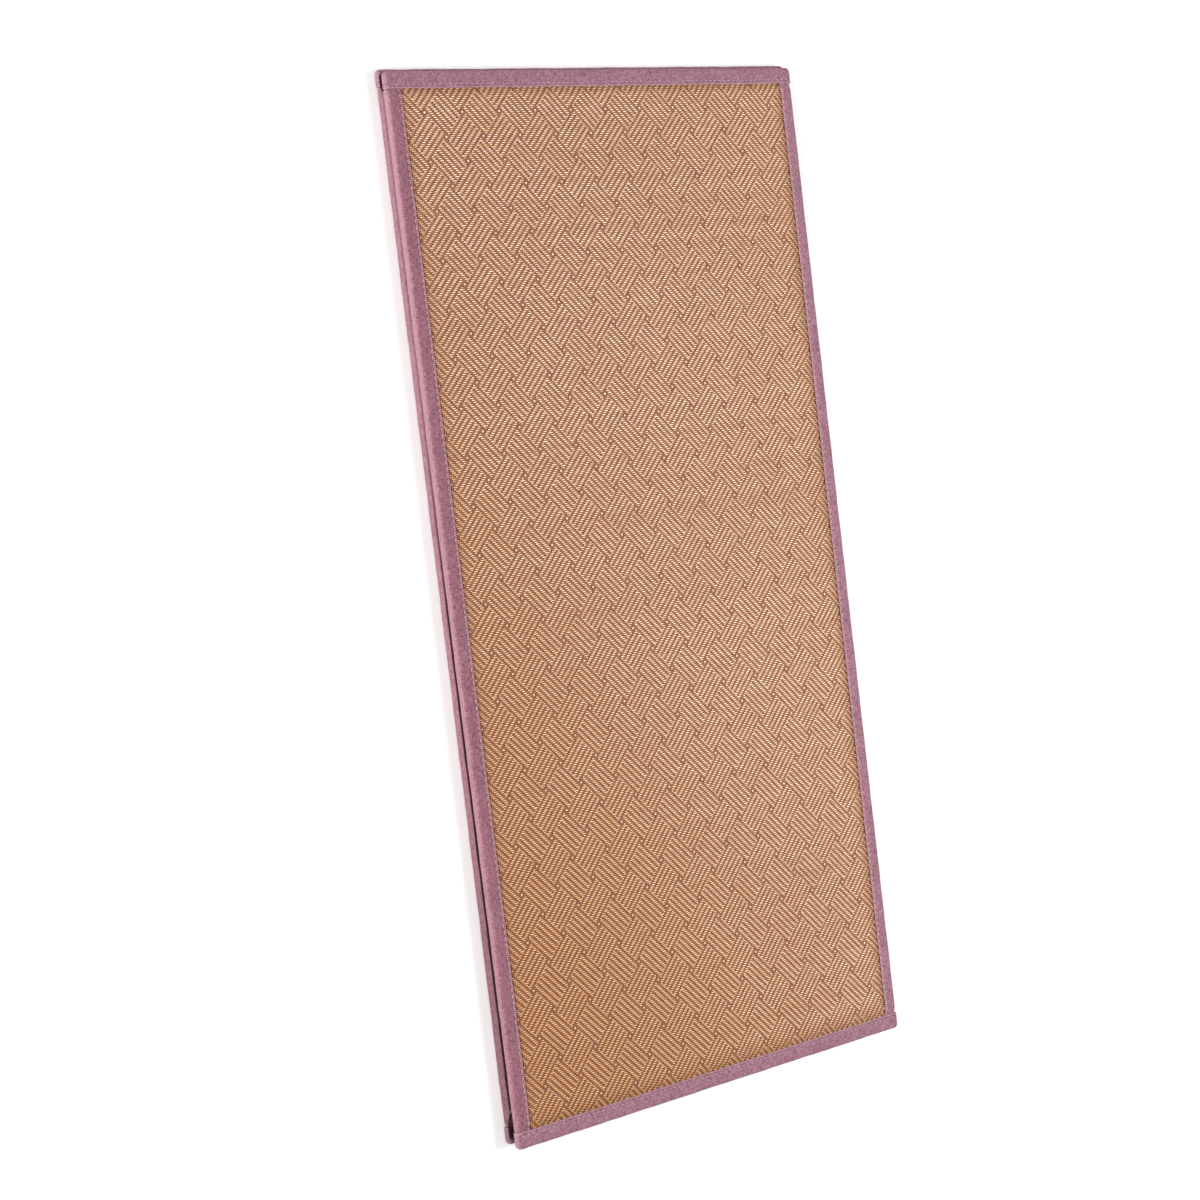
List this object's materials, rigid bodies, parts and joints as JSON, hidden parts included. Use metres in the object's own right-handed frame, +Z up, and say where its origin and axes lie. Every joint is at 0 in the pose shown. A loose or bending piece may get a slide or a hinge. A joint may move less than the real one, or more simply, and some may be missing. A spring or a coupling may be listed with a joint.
{
  "type": "folding tatami mat",
  "caption": "Padded floor mat of woven rush with cloth bindings, folded flat along a cloth hinge on one long side.",
  "frame": {"origin": "on the floor, under the middle of the folded mat", "axes": "+X from the fold towards the open sides, +Y along the mat, +Z up, out of the front panel's woven face"},
  "size_m": [0.5026, 1.0034, 0.0229],
  "materials": {
    "rush": "woven rush, satin sheen on the floats",
    "binding": "matt brushed cloth tape"
  },
  "bodies": {
    "root": {"panel_front": "rush", "panel_back": "rush", "hinge_strip": "binding", "side_binding_front": "binding", "side_binding_back": "binding", "end_binding_front_top": "binding", "end_binding_front_bottom": "binding", "end_binding_back_top": "binding", "end_binding_back_bottom": "binding"}
  },
  "joints": []
}
